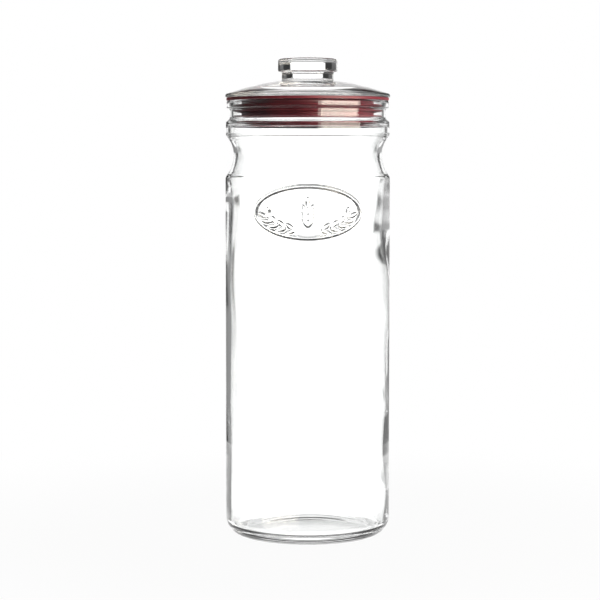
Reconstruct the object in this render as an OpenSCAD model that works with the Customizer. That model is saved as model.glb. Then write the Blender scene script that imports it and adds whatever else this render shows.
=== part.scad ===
// Tall push-top storage jar for pasta: a blown-glass jar, a pressed-glass lid with its knob,
// and the silicone seal ring that grips the neck. All three are turned about one axis.
// The origin is on the table under the middle of the jar, +Z is up, and the embossed oval faces -Y.

/* [Jar] */
// Outside diameter of the straight body
body_d = 110; // [104:0.5:126]
// Height of the jar to the top of its lip
jar_h = 290.6; // [200:0.2:340]
// Thickness of the body wall
wall = 3.2; // [2.2:0.1:6]
// Thickness of the floor at its edge
floor_t = 6.4; // [5:0.1:12]
// Rise of the floor inside, from its edge to the middle
floor_rise = 1.8; // [0:0.1:4]
// Radius of the heel outside
heel_r = 12; // [6:0.5:18]
// Radius of the corner inside, between wall and floor
inner_heel_r = 4.5; // [2:0.5:16]
// Width of the flat ring that the jar stands on
foot_w = 2.6; // [1.5:0.1:6]
// Height of the hollow under the floor
punt_h = 3.5; // [1:0.1:5]

/* [Neck] */
// Diameter of the bore that takes the seal
mouth_d = 99.6; // [95:0.2:101]
// Thickness of the glass at the lip
lip_t = 4.3; // [3.4:0.1:6]
// Height of the lip
lip_h = 5.2; // [4:0.1:9]
// Thickness of the glass at the groove under the lip
groove_t = 2.4; // [1.8:0.1:3.2]
// Height of the groove
groove_h = 6.8; // [5:0.1:12]
// Distance that the bead under the groove stands out from it
bead_out = 2.4; // [1:0.1:4]
// Thickness of the glass at the bead
bead_t = 2.8; // [2:0.1:4]
// Height of the bead, with its sloped top
bead_h = 11.2; // [9:0.1:16]
// Height of the bead's sloped top
bead_slope = 2.2; // [1:0.1:3]
// Height of the sloped ledge inside, where the bore opens out into the bead
ledge_h = 2.4; // [1:0.1:3]
// Depth of this ledge below the bead's sloped top
ledge_drop = 0.8; // [0:0.1:1.5]
// Depth of the waist, measured in from the body
waist_in = 5.4; // [3:0.1:7]
// Thickness of the glass at the waist
waist_t = 2.8; // [2:0.1:4.5]
// Height from the waist's narrowest ring up to the bead
waist_up = 11.8; // [8:0.1:18]
// Height from the shoulder's edge up to the waist's narrowest ring
waist_down = 15.8; // [10:0.1:22]
// Radius inside, where the bead turns in to the waist
throat_r = 3; // [1:0.5:8]
// Height of this turn above the bead's lower edge
throat_lift = 0.6; // [0:0.1:1.5]
// Radius inside, where the waist runs out into the body
inner_shoulder_r = 3; // [1:0.5:16]

/* [Seal] */
// Thickness of the flange between the lid's rim and the lip
flange_t = 1.8; // [0.8:0.1:3]
// Distance of the flange's edge from the outside of the lip
flange_inset = 0; // [0:0.1:3]
// Thickness of the sleeve on the plug
sleeve_t = 1.9; // [1.2:0.1:3]
// Reach of each fin from the sleeve
fin_reach = 5.6; // [3:0.1:7]
// Thickness of a fin at its root
fin_t = 1.4; // [1:0.1:2.2]
// Number of fins
fin_count = 3; // [1:1:4]
// Distance from one fin to the next
fin_pitch = 3.6; // [2.8:0.1:5]
// Distance from the top of the lip down to the first fin
fin_drop = 4.1; // [3:0.1:6]
// Distance from the last fin down to the end of the sleeve
sleeve_foot = 3; // [1:0.1:6]

/* [Lid] */
// Distance that the rim stands out past the lip
rim_out = 0.9; // [0.3:0.1:4]
// Thickness of the rim at its edge
rim_t = 2.4; // [1.8:0.1:5]
// Rise of the domed top, from the rim's edge to the middle
dome_h = 10; // [4:0.1:20]
// Thickness of the glass in the middle of the dome
dome_t = 12; // [6:0.1:16]
// Diameter of the knob
knob_d = 39.6; // [36:0.2:56]
// Height of the knob's side
knob_h = 8.5; // [6:0.1:16]
// Rise of the knob's crowned top
knob_crown = 2; // [0.5:0.1:5]
// Diameter of the stem under the knob
stem_d = 34.4; // [20:0.2:38]
// Height of the knob above the middle of the dome
stem_h = 4.7; // [2:0.1:16]
// Wall of the hollow plug
plug_wall = 4; // [2.5:0.1:6]
// Height of the ring at the plug's end that keeps the seal on
keeper_h = 1.2; // [1:0.1:8]
// Distance that this ring stands out from the plug
keeper_out = 1.4; // [0.6:0.1:2.5]

/* [Emblem] */
// Width of the embossed oval
emblem_w = 68; // [40:1:80]
// Height of the embossed oval
emblem_h = 34; // [20:1:50]
// Distance from the shoulder's edge down to the middle of the oval
emblem_drop = 22; // [20:0.5:60]
// Width of the oval's line
emblem_line = 1.5; // [0.8:0.1:3]
// Height of the relief above the glass
emblem_relief = 0.8; // [0.3:0.1:1.2]
// Length of one grain of the wheat motif
grain_l = 5.6; // [3:0.1:7]
// Width of one grain
grain_w = 2.2; // [1:0.1:3]
// Pairs of grains on each side sprig
sprig_pairs = 5; // [2:1:6]
// Pairs of grains on the upright ear
ear_pairs = 3; // [1:1:4]

/* [Fits] */
// Gap between the fins and the bore
fin_gap = 0.2; // [0.1:0.05:0.4]
// Gap between the seal's sleeve and the plug
plug_gap = 0.1; // [0.05:0.01:0.1]
// Gap between the seal's lower end and the keeper ring
keeper_gap = 0.3; // [0.1:0.05:0.5]

/* [Hidden] */
$fn = 128;

// Angle between two points of a rounded corner, and number of steps along a longer curve
arc_step = 11.25;
curve_steps = 12;

// Shares of a fin's thickness: lift of its tip, and thickness of its tip
fin_lean = 0.6;
fin_taper = 0.5;

// Shares of a grain: room that it needs beside and below a sprig, spacing along the ear, and root offset
sprig_side_room = 1.15;
sprig_foot_room = 0.7;
ear_spacing = 0.72;
root_offset = 0.32;

// Radii of the small rounded edges
edge_r = 1.2;
lip_edge_r = 1.6;
shoulder_r = 3;
bead_edge_r = 4;
knob_edge_r = 1.9;
skirt_corner_r = 4;
seal_edge_r = 0.35;
plug_root_r = 0.35;
sleeve_mouth_r = 0.8;

// Radii of the jar
body_r = body_d / 2;
inner_r = body_r - wall;
foot_r = body_r - heel_r;
punt_r = foot_r - foot_w;
bore_r = mouth_d / 2;
lip_r = bore_r + lip_t;
groove_r = bore_r + groove_t;
bead_r = groove_r + bead_out;
bead_inner_r = bead_r - bead_t;
waist_r = body_r - waist_in;
waist_inner_r = waist_r - waist_t;

// Heights of the jar, worked out from the lip down
lip_z = jar_h - lip_h;
bead_top_z = lip_z - groove_h;
bead_side_z = bead_top_z - bead_slope;
ledge_z = bead_side_z - ledge_drop;
bead_z = bead_top_z - bead_h;
throat_z = bead_z + throat_lift;
waist_z = bead_z - waist_up;
shoulder_z = waist_z - waist_down;

// Seal: its fins reach the bore, and its sleeve fits the plug
fin_r = bore_r - fin_gap;
sleeve_r = fin_r - fin_reach;
sleeve_inner_r = sleeve_r - sleeve_t;
flange_r = lip_r - flange_inset;
flange_top_z = jar_h + flange_t;
fin_lift = fin_t * fin_lean;
last_fin_z = jar_h - fin_drop - (fin_count - 1) * fin_pitch;
seal_z = last_fin_z - sleeve_foot;

// Lid: its rim rests on the seal's flange, and its plug carries the sleeve
rim_r = lip_r + rim_out;
rim_z = flange_top_z;
rim_top_z = rim_z + rim_t;
knob_r = knob_d / 2;
stem_r = stem_d / 2;
knob_z = rim_top_z + dome_h + stem_h;
lid_top_z = knob_z + knob_h + knob_crown;
plug_r = sleeve_inner_r - plug_gap;
keeper_r = plug_r + keeper_out;
keeper_top_z = seal_z - keeper_gap;
plug_z = keeper_top_z - keeper_h;
hollow_r = plug_r - plug_wall;
ceiling_z = rim_top_z + dome_h - dome_t;

// Emblem: the sprigs follow a smaller oval inside the line
emblem_z = shoulder_z - emblem_drop;
emblem_root = 0.3;
emblem_margin = 1;
sprig_w = emblem_w / 2 - emblem_line - grain_l * sprig_side_room;
sprig_h = emblem_h / 2 - emblem_line - grain_l * sprig_foot_room;
sprig_start = 20;
sprig_sweep = 68;
grain_splay = 30;

function unit(v) = v / norm(v);

function turn_between(from, to) = (to - from) - 360 * round((to - from) / 360);

// Height of a bowl or dome that falls by `fall` from its middle to radius `edge`
function bowl(r, edge, fall) = -fall * pow(r / edge, 2);

// Point of the neck that is upright at the waist with radius r0, and flares to r1 over a height h
function flare(r0, r1, h, t) = [r0 + (r1 - r0) * t * t, waist_z + h * t, 0];

// Arc of radius r that rounds corner b between its neighbours a and c
function corner_arc(a, b, c, r) =
    let (
        u = unit(a - b),
        v = unit(c - b),
        half = acos(u * v) / 2,
        reach = min(r / tan(half), norm(a - b) / 2.05, norm(c - b) / 2.05),
        radius = reach * tan(half),
        centre = b + unit(u + v) * radius / sin(half),
        first = b + u * reach - centre,
        last = b + v * reach - centre,
        start = atan2(first[1], first[0]),
        turn = turn_between(start, atan2(last[1], last[0])),
        steps = max(2, ceil(abs(turn) / arc_step))
    )
    [for (i = [0:steps]) centre + radius * [cos(start + turn * i / steps), sin(start + turn * i / steps)]];

// Outline through corners [r, z, rounding], each rounded by its own radius
function outline(corners) =
    let (n = len(corners))
    [for (i = [0:n - 1])
        let (b = corners[i], a = corners[(i + n - 1) % n], c = corners[(i + 1) % n])
        each b[2] == 0 ? [[b[0], b[1]]] : corner_arc([a[0], a[1]], [b[0], b[1]], [c[0], c[1]], b[2])];

module turned(corners) {
    rotate_extrude() polygon(outline(corners));
}

// Waist of the neck outside: a hollow curve from the shoulder up to the bead
function waist_curve() = [
    for (i = [curve_steps - 2:-1:1]) flare(waist_r, body_r, -waist_down, i / curve_steps),
    for (i = [0:curve_steps - 3]) flare(waist_r, bead_r, waist_up, i / curve_steps)
];

// Inside of the neck, alongside the outside: from the bore out into the bead, in to the waist, out to the body
function throat_curve() = [
    [bore_r, ledge_z, edge_r],
    [bead_inner_r, ledge_z - ledge_h, edge_r],
    [bead_inner_r, throat_z, throat_r],
    for (i = [curve_steps - 3:-1:1])
        flare(waist_inner_r, bead_inner_r, waist_up + throat_lift, i / curve_steps),
    for (i = [0:curve_steps - 2]) flare(waist_inner_r, inner_r, -waist_down, i / curve_steps),
    [inner_r, shoulder_z, inner_shoulder_r]
];

// Heel, hollow under the floor, and the floor inside
function heel_curve() = [
    for (i = [0:curve_steps])
        let (a = 90 * i / curve_steps) [foot_r + heel_r * sin(a), heel_r * (1 - cos(a)), 0]
];
function punt_curve() = [
    for (i = [0:curve_steps - 1])
        let (r = punt_r * i / curve_steps) [r, punt_h + bowl(r, punt_r, punt_h), 0]
];
function floor_curve() = [
    for (i = [curve_steps / 2:-1:0])
        let (r = inner_r * i / curve_steps) [r, floor_t + floor_rise + bowl(r, inner_r, floor_rise), 0]
];

module jar_glass() {
    turned([
        each punt_curve(),
        [punt_r, 0, edge_r],
        each heel_curve(),
        [body_r, shoulder_z, shoulder_r],
        each waist_curve(),
        [bead_r, bead_z, bead_edge_r],
        [bead_r, bead_side_z, edge_r],
        [groove_r, bead_top_z, edge_r],
        [groove_r, lip_z, edge_r],
        [lip_r, lip_z, edge_r],
        [lip_r, jar_h, edge_r],
        [bore_r, jar_h, lip_edge_r],
        each throat_curve(),
        [inner_r, floor_t, inner_heel_r],
        each floor_curve()
    ]);
}

module oval(w, h) {
    sides = 72;
    polygon([for (i = [0:sides - 1]) [w / 2 * cos(360 * i / sides), h / 2 * sin(360 * i / sides)]]);
}

// One pointed grain, its root at the origin and its tip on +Y
module grain() {
    bulge = (grain_l * grain_l / 4 + grain_w * grain_w / 4) / grain_w;
    translate([0, grain_l / 2])
        intersection() {
            translate([bulge - grain_w / 2, 0]) circle(r = bulge);
            translate([grain_w / 2 - bulge, 0]) circle(r = bulge);
        }
}

module grain_pair() {
    for (side = [-1, 1])
        translate([side * grain_w * root_offset, 0]) rotate(-side * grain_splay) grain();
}

// Two sprigs that rise left and right from the foot of the oval
module sprigs() {
    for (side = [-1, 1], i = [0:sprig_pairs - 1])
        let (
            angle = sprig_start + sprig_sweep * i / sprig_pairs,
            along = [side * sprig_w * cos(angle), sprig_h * sin(angle)]
        )
        translate([side * sprig_w * sin(angle), -sprig_h * cos(angle)])
            rotate(atan2(along[1], along[0]) - 90) grain_pair();
}

// Upright ear of wheat between the sprigs
module ear() {
    ear_pitch = grain_l * ear_spacing;
    ear_foot = -(ear_pairs * ear_pitch + grain_l) / 2;
    for (i = [0:ear_pairs - 1]) translate([0, ear_foot + i * ear_pitch]) grain_pair();
    translate([0, ear_foot + ear_pairs * ear_pitch]) grain();
}

// The relief follows the round wall: a thin skin of glass cut to the emblem's outline
module emblem() {
    skin_h = emblem_h + 2 * emblem_margin;
    intersection() {
        translate([0, 0, emblem_z - skin_h / 2])
            difference() {
                cylinder(r = body_r + emblem_relief, h = skin_h);
                translate([0, 0, -emblem_margin])
                    cylinder(r = body_r - emblem_root, h = skin_h + 2 * emblem_margin);
            }
        translate([0, 0, emblem_z]) rotate([90, 0, 0]) linear_extrude(body_d) {
            difference() {
                oval(emblem_w, emblem_h);
                oval(emblem_w - 2 * emblem_line, emblem_h - 2 * emblem_line);
            }
            sprigs();
            ear();
        }
    }
}

module glass_jar() {
    color([0.88, 0.92, 0.91, 0.35]) union() {
        jar_glass();
        emblem();
    }
}

// Fin of the seal: it leans up, thick at the sleeve and thin at the bore
function fin_corners(z) = [
    [sleeve_r, z + fin_t / 2, 0],
    [fin_r, z + fin_lift + fin_t * fin_taper / 2, seal_edge_r],
    [fin_r, z + fin_lift - fin_t * fin_taper / 2, seal_edge_r],
    [sleeve_r, z - fin_t / 2, 0]
];

module seal_ring() {
    color([0.62, 0.09, 0.13]) turned([
        [sleeve_inner_r, flange_top_z, sleeve_mouth_r],
        [flange_r, flange_top_z, seal_edge_r],
        [flange_r, jar_h, seal_edge_r],
        [sleeve_r, jar_h, seal_edge_r],
        for (i = [0:fin_count - 1]) each fin_corners(jar_h - fin_drop - i * fin_pitch),
        [sleeve_r, seal_z, seal_edge_r],
        [sleeve_inner_r, seal_z, seal_edge_r]
    ]);
}

// Crowned top of the knob, and the dome around its stem
function crown_curve() = [
    for (i = [0:curve_steps - 3])
        let (r = knob_r * i / curve_steps) [r, lid_top_z + bowl(r, knob_r, knob_crown), 0]
];
function dome_z(r) = rim_top_z + dome_h + bowl(r, rim_r, dome_h);
function dome_curve() = [
    for (i = [1:curve_steps - 1])
        let (r = stem_r + (rim_r - stem_r) * i / curve_steps) [r, dome_z(r), 0]
];

module glass_lid() {
    color([0.88, 0.92, 0.91, 0.35]) turned([
        each crown_curve(),
        [knob_r, lid_top_z - knob_crown, knob_edge_r],
        [knob_r, knob_z, knob_edge_r],
        [stem_r, knob_z, edge_r],
        [stem_r, dome_z(stem_r), edge_r],
        each dome_curve(),
        [rim_r, rim_top_z, edge_r],
        [rim_r, rim_z, edge_r],
        [plug_r, rim_z, plug_root_r],
        [plug_r, keeper_top_z, plug_root_r],
        [keeper_r, keeper_top_z, edge_r],
        [keeper_r, plug_z, edge_r],
        [hollow_r, plug_z, edge_r],
        [hollow_r, ceiling_z, skirt_corner_r],
        [0, ceiling_z, 0]
    ]);
}

glass_jar();
seal_ring();
glass_lid();
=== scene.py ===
import math

import bpy
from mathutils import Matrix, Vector


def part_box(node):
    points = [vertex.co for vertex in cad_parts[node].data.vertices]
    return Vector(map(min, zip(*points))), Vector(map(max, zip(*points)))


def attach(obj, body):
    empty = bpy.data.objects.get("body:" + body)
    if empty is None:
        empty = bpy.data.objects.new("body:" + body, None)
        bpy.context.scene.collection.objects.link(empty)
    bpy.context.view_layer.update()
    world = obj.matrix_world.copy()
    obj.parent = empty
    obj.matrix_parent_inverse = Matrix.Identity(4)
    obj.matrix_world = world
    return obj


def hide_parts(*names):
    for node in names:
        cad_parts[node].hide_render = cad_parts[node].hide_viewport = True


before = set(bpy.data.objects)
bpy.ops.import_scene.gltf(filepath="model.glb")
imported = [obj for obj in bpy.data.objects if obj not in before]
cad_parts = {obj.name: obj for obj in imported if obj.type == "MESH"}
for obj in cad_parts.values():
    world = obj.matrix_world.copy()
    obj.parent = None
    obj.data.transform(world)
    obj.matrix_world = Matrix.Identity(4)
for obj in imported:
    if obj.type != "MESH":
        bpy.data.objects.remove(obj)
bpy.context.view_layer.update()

bl_info = {
    "name": "Push-Top Pasta Jar",
    "version": (1, 0, 0),
    "blender": (4, 5, 0),
    "location": "View3D > Sidebar > Pasta Jar",
    "description": "Builds a tall glass pasta jar with a push-top glass lid and a silicone seal",
    "category": "Add Mesh",
}

# Boxes of the fixed frame, from which the main sizes come
JAR_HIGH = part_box("glass_jar")[1]
SEAL_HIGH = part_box("seal_ring")[1]
LID_LOW, LID_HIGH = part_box("glass_lid")

MM = 0.001
WHITE = (1.0, 1.0, 1.0, 1.0)

# How finely outlines are drawn. An arc turns by one step at a time, and by two on small edges.
ARC_STEP = math.radians(9)
SMALL_EDGE = 2 * MM
LEAST_STEPS = 3
CURVE_STEPS = 18
# The last step of a curve before a corner with a small, a wide or a wider rounding
BEFORE_SMALL = CURVE_STEPS - 1
BEFORE_WIDE = CURVE_STEPS - 3
BEFORE_WIDER = CURVE_STEPS - 4
# An arc takes a little less than half of each side of its corner
SIDE_PARTS = 2.05
# A stretch is long if it has so many hems and so many lengths of its shorter neighbour
LONG_HEMS = 4
LONG_NEIGHBOURS = 3
# Short end pieces of a long stretch, and the most that its other rows lie apart
HEM = 0.35 * MM
SEAL_HEM = 0.2 * MM
OUTER_ROW = 40 * MM
EMBLEM_ROW = 0.45 * MM
INNER_ROW = 5 * MM
SEAL_ROW = 2 * MM
LID_ROW = 4 * MM
# Points closer than this are one point
WELD = 0.001 * MM


# Sizes and colours that a user would change


def length(name, description, default):
    return bpy.props.FloatProperty(
        name=name, description=description, default=default, unit="LENGTH", precision=4
    )


def colour(name, description, default):
    return bpy.props.FloatVectorProperty(
        name=name, description=description, default=default, subtype="COLOR", size=4, min=0.0, max=1.0
    )


def count(name, description, default):
    return bpy.props.IntProperty(name=name, description=description, default=default, min=1)


class JarSizes(bpy.types.PropertyGroup):
    """Sizes of the blown-glass jar."""

    body_radius: length("Body radius", "Outside radius of the straight body", JAR_HIGH.x)
    height: length("Height", "Height to the top of the lip", JAR_HIGH.z)
    wall: length("Wall", "Thickness of the body wall", 3.2 * MM)
    floor: length("Floor", "Thickness of the floor at its edge", 6.4 * MM)
    floor_rise: length("Floor rise", "Rise of the floor from its edge to the middle", 1.8 * MM)
    heel_radius: length("Heel radius", "Radius of the heel outside", 12 * MM)
    inner_heel: length("Inner heel", "Radius of the corner between wall and floor", 4.5 * MM)
    foot_width: length("Foot width", "Width of the flat ring that the jar stands on", 2.6 * MM)
    punt: length("Punt", "Height of the hollow under the floor", 3.5 * MM)
    bore_radius: length("Bore radius", "Radius of the bore that takes the seal", 49.8 * MM)
    lip_wall: length("Lip wall", "Thickness of the glass at the lip", 4.3 * MM)
    lip_height: length("Lip height", "Height of the lip", 5.2 * MM)
    groove_wall: length("Groove wall", "Thickness of the glass at the groove", 2.4 * MM)
    groove_height: length("Groove height", "Height of the groove under the lip", 6.8 * MM)
    bead_out: length("Bead", "Distance that the bead stands out from the groove", 2.4 * MM)
    bead_wall: length("Bead wall", "Thickness of the glass at the bead", 2.8 * MM)
    bead_slope: length("Bead slope", "Height of the bead's sloped top", 2.2 * MM)
    ledge: length("Ledge", "Height of the sloped ledge inside, between bore and bead", 2.4 * MM)
    ledge_drop: length("Ledge drop", "Depth of the ledge below the bead's sloped top", 0.8 * MM)
    bead_height: length("Bead height", "Height of the bead, with its sloped top", 11.2 * MM)
    waist_depth: length("Waist depth", "Depth of the waist, in from the body", 5.4 * MM)
    waist_wall: length("Waist wall", "Thickness of the glass at the waist", 2.8 * MM)
    waist_up: length("Waist up", "Height from the narrowest ring up to the bead", 11.8 * MM)
    waist_down: length("Waist down", "Height from the shoulder up to the narrowest ring", 15.8 * MM)
    throat: length("Throat", "Radius inside, where the bead turns in to the waist", 3 * MM)
    throat_lift: length("Throat lift", "Height of this turn above the bead's lower edge", 0.6 * MM)
    shoulder: length("Shoulder", "Radius outside, where the waist meets the body", 3 * MM)
    inner_shoulder: length("Inner shoulder", "Radius inside, where the waist meets the body", 3 * MM)
    edge: length("Edge", "Radius of the small rounded edges", 1.2 * MM)
    lip_edge: length("Lip edge", "Radius of the lip's inner edge", 1.6 * MM)
    bead_edge: length("Bead edge", "Radius of the bead's lower edge", 2 * MM)
    wave: length("Wave", "Unevenness of the blown inner wall", 0.3 * MM)


class SealSizes(bpy.types.PropertyGroup):
    """Sizes of the silicone seal ring."""

    flange: length("Flange", "Thickness of the flange between rim and lip", SEAL_HIGH.z - JAR_HIGH.z)
    flange_radius: length("Flange radius", "Radius of the flange", SEAL_HIGH.x)
    sleeve: length("Sleeve", "Thickness of the sleeve on the plug", 1.9 * MM)
    fin_reach: length("Fin reach", "Reach of each fin from the sleeve", 5.6 * MM)
    fin: length("Fin", "Thickness of a fin at its root", 1.4 * MM)
    fin_pitch: length("Fin pitch", "Distance from one fin to the next", 3.6 * MM)
    fin_drop: length("Fin drop", "Distance from the lip down to the first fin", 4.1 * MM)
    fin_gap: length("Fin gap", "Gap between the fins and the bore", 0.2 * MM)
    fins: count("Fins", "Number of fins", 3)
    sleeve_foot: length("Sleeve foot", "Distance from the last fin down to the sleeve's end", 3 * MM)
    skin_gap: length("Skin gap", "Air left between the seal and the glass that it lies on", 0.03 * MM)
    edge: length("Edge", "Radius of the moulded edges", 0.35 * MM)
    mouth_edge: length("Mouth edge", "Radius of the sleeve's inner edge under the rim", 0.8 * MM)


class LidSizes(bpy.types.PropertyGroup):
    """Sizes of the pressed-glass lid."""

    top: length("Top", "Height of the knob's top above the table", LID_HIGH.z)
    bottom: length("Bottom", "Height of the plug's end above the table", LID_LOW.z)
    rim_radius: length("Rim radius", "Radius of the rim", LID_HIGH.x)
    rim: length("Rim", "Thickness of the rim at its edge", 2.4 * MM)
    dome: length("Dome", "Rise of the domed top", 10 * MM)
    dome_wall: length("Dome wall", "Thickness of the glass in the middle of the dome", 12 * MM)
    knob_radius: length("Knob radius", "Radius of the knob", 19.8 * MM)
    knob_height: length("Knob height", "Height of the knob's side", 8.5 * MM)
    knob_crown: length("Knob crown", "Rise of the knob's crowned top", 2 * MM)
    stem_radius: length("Stem radius", "Radius of the stem under the knob", 17.2 * MM)
    plug_radius: length("Plug radius", "Radius of the plug that carries the seal", 42 * MM)
    plug_wall: length("Plug wall", "Wall of the hollow plug", 4 * MM)
    keeper_height: length("Keeper height", "Height of the ring that keeps the seal on", 1.2 * MM)
    keeper_out: length("Keeper", "Distance that this ring stands out from the plug", 1.4 * MM)
    edge: length("Edge", "Radius of the small rounded edges", 1.2 * MM)
    knob_edge: length("Knob edge", "Radius of the knob's edges", 1.9 * MM)
    plug_root: length("Plug root", "Radius of the corner between plug and rim", 0.35 * MM)
    skirt_corner: length("Skirt corner", "Radius of the corner inside the plug", 4 * MM)


class EmblemSizes(bpy.types.PropertyGroup):
    """Sizes of the embossed oval with its wheat motif."""

    width: length("Width", "Width of the oval", 68 * MM)
    height: length("Height", "Height of the oval", 34 * MM)
    drop: length("Drop", "Distance from the shoulder down to the oval's middle", 22 * MM)
    line: length("Line", "Width of the oval's line", 0.7 * MM)
    relief: length("Relief", "Height of the relief above the glass", 1.1 * MM)
    soft_edge: length("Soft edge", "Width of the relief's sloped edge", 1.2 * MM)
    grain_length: length("Grain length", "Length of one grain", 5.6 * MM)
    grain_width: length("Grain width", "Width of one grain", 1.2 * MM)
    sprig_pairs: count("Sprig pairs", "Pairs of grains on each side sprig", 5)
    ear_pairs: count("Ear pairs", "Pairs of grains on the upright ear", 3)


class JarLook(bpy.types.PropertyGroup):
    """Colours of glass and silicone."""

    glass: colour("Glass", "Tint of the clear glass", (0.985, 0.99, 0.988, 1.0))
    silicone: colour("Silicone", "Deep red of the seal", (0.34, 0.04, 0.06, 1.0))
    silicone_dark: colour("Dark silicone", "Darker red of the seal's cloudy spots", (0.2, 0.016, 0.03, 1.0))
    floor: colour("Floor", "Colour of the pale floor", (0.86, 0.86, 0.86, 1.0))
    key: colour("Key light", "Colour of the key lamps", (1.0, 0.93, 0.81, 1.0))


# Outlines: lists of (radius, height) that are turned about the jar's axis


def corner_arc(before, corner, after, radius):
    """Points of an arc that rounds a corner, no larger than half of each side."""
    before, corner, after = Vector(before[:2]), Vector(corner[:2]), Vector(after[:2])
    to_before, to_after = before - corner, after - corner
    u, v = to_before.normalized(), to_after.normalized()
    half = math.acos(max(-1.0, min(1.0, u.dot(v)))) / 2
    room = min(to_before.length, to_after.length) / SIDE_PARTS
    reach = min(radius / math.tan(half), room)
    radius = reach * math.tan(half)
    centre = corner + (u + v).normalized() * radius / math.sin(half)
    first, last = corner + u * reach - centre, corner + v * reach - centre
    start = math.atan2(first.y, first.x)
    turn = math.remainder(math.atan2(last.y, last.x) - start, math.tau)
    step = ARC_STEP if radius > SMALL_EDGE else 2 * ARC_STEP
    steps = max(LEAST_STEPS, math.ceil(abs(turn) / step))
    angles = [start + turn * i / steps for i in range(steps + 1)]
    return [tuple(centre + radius * Vector((math.cos(a), math.sin(a)))) for a in angles]


def outline(corners, closed=False):
    """Turns corners (radius, height, rounding) into points. The ends of an open outline stay sharp."""
    points = []
    for i, corner in enumerate(corners):
        at_end = not closed and i in (0, len(corners) - 1)
        if at_end or corner[2] == 0:
            points.append(corner[:2])
        else:
            points += corner_arc(corners[i - 1], corner, corners[(i + 1) % len(corners)], corner[2])
    return points + points[:1] if closed else points


def spaced(points, longest, hem=HEM):
    """Splits long stretches, with a short piece at each end so that flat glass stays flat when shaded."""
    spans = [(Vector(end) - Vector(start)).length for start, end in zip(points, points[1:])]
    rows = [points[0]]
    for i, span in enumerate(spans):
        start, end = Vector(points[i]), Vector(points[i + 1])
        beside = min(spans[max(i - 1, 0)], spans[min(i + 1, len(spans) - 1)])
        stops = []
        if span > max(LONG_HEMS * hem, LONG_NEIGHBOURS * beside):
            inner = math.ceil((span - 2 * hem) / longest)
            stops = [(hem + (span - 2 * hem) * k / inner) / span for k in range(inner + 1)]
        rows += [tuple(start.lerp(end, stop)) for stop in stops] + [tuple(end)]
    return rows


def bowl(radius, edge, fall):
    """Height of a bowl turned over: 0 in the middle, and down by the fall at its edge."""
    return -fall * (radius / edge) ** 2


def smooth(low, high, value):
    """A smooth step from 0 to 1 as the value goes from low to high."""
    t = max(0.0, min(1.0, (value - low) / (high - low)))
    return t * t * (3 - 2 * t)


def plain(points):
    """Corners without rounding."""
    return [(r, z, 0) for r, z in points]


def shares(first, last, steps=CURVE_STEPS):
    """Fractions from first to last of a curve's steps, both included."""
    step = 1 if last >= first else -1
    return [i / steps for i in range(first, last + step, step)]


class JarShape:
    """Heights and radii of the jar, worked out from its sizes."""

    def __init__(self, s):
        self.s = s
        self.inner_radius = s.body_radius - s.wall
        self.foot_radius = s.body_radius - s.heel_radius
        self.punt_radius = self.foot_radius - s.foot_width
        self.lip_radius = s.bore_radius + s.lip_wall
        self.groove_radius = s.bore_radius + s.groove_wall
        self.bead_radius = self.groove_radius + s.bead_out
        self.bead_inner = self.bead_radius - s.bead_wall
        self.waist_radius = s.body_radius - s.waist_depth
        self.waist_inner = self.waist_radius - s.waist_wall
        self.lip_z = s.height - s.lip_height
        self.bead_top = self.lip_z - s.groove_height
        self.bead_side = self.bead_top - s.bead_slope
        self.ledge_z = self.bead_side - s.ledge_drop
        self.bead_z = self.bead_top - s.bead_height
        self.waist_z = self.bead_z - s.waist_up
        self.shoulder_z = self.waist_z - s.waist_down

    def flare(self, start, end, rise, stops):
        """Points of the neck that are upright at the waist and flare from start to end over a rise."""
        return [(start + (end - start) * t * t, self.waist_z + rise * t) for t in stops]

    def outside(self, emblem_band):
        """From the middle of the hollow base up to the mouth."""
        s = self.s
        punt = [
            (self.punt_radius * t, s.punt + bowl(t, 1, s.punt)) for t in shares(0, BEFORE_SMALL)
        ]
        turns = [math.pi / 2 * t for t in shares(0, CURVE_STEPS)]
        heel = [
            (self.foot_radius + s.heel_radius * math.sin(a), s.heel_radius * (1 - math.cos(a)))
            for a in turns
        ]
        down = self.flare(self.waist_radius, s.body_radius, -s.waist_down, shares(BEFORE_WIDE, 1))
        up = self.flare(self.waist_radius, self.bead_radius, s.waist_up, shares(0, BEFORE_WIDER))
        return outline(
            [
                *plain(punt),
                (self.punt_radius, 0, s.edge),
                *plain(heel),
                *plain((s.body_radius, z) for z in emblem_band),
                (s.body_radius, self.shoulder_z, s.shoulder),
                *plain(down + up),
                (self.bead_radius, self.bead_z, s.bead_edge),
                (self.bead_radius, self.bead_side, s.edge),
                (self.groove_radius, self.bead_top, s.edge),
                (self.groove_radius, self.lip_z, s.edge),
                (self.lip_radius, self.lip_z, s.edge),
                (self.lip_radius, s.height, s.edge),
                (s.bore_radius, s.height, s.lip_edge),
                (s.bore_radius, self.lip_z, 0),
            ]
        )

    def inside(self):
        """From the bore down to the middle of the floor."""
        s = self.s
        rise = s.waist_up + s.throat_lift
        throat = self.flare(self.waist_inner, self.bead_inner, rise, shares(BEFORE_WIDER, 1))
        belly = self.flare(self.waist_inner, self.inner_radius, -s.waist_down, shares(0, BEFORE_WIDE))
        # The floor runs straight from its corner halfway in, and is a bowl turned over from there
        floor = [
            (self.inner_radius * t, s.floor + s.floor_rise + bowl(t, 1, s.floor_rise))
            for t in shares(CURVE_STEPS // 2, 0)
        ]
        return outline(
            [
                (s.bore_radius, self.lip_z, 0),
                (s.bore_radius, self.ledge_z, s.edge),
                (self.bead_inner, self.ledge_z - s.ledge, s.edge),
                (self.bead_inner, self.bead_z + s.throat_lift, s.throat),
                *plain(throat + belly),
                (self.inner_radius, self.shoulder_z, s.inner_shoulder),
                (self.inner_radius, s.floor, s.inner_heel),
                *plain(floor),
            ]
        )


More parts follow.
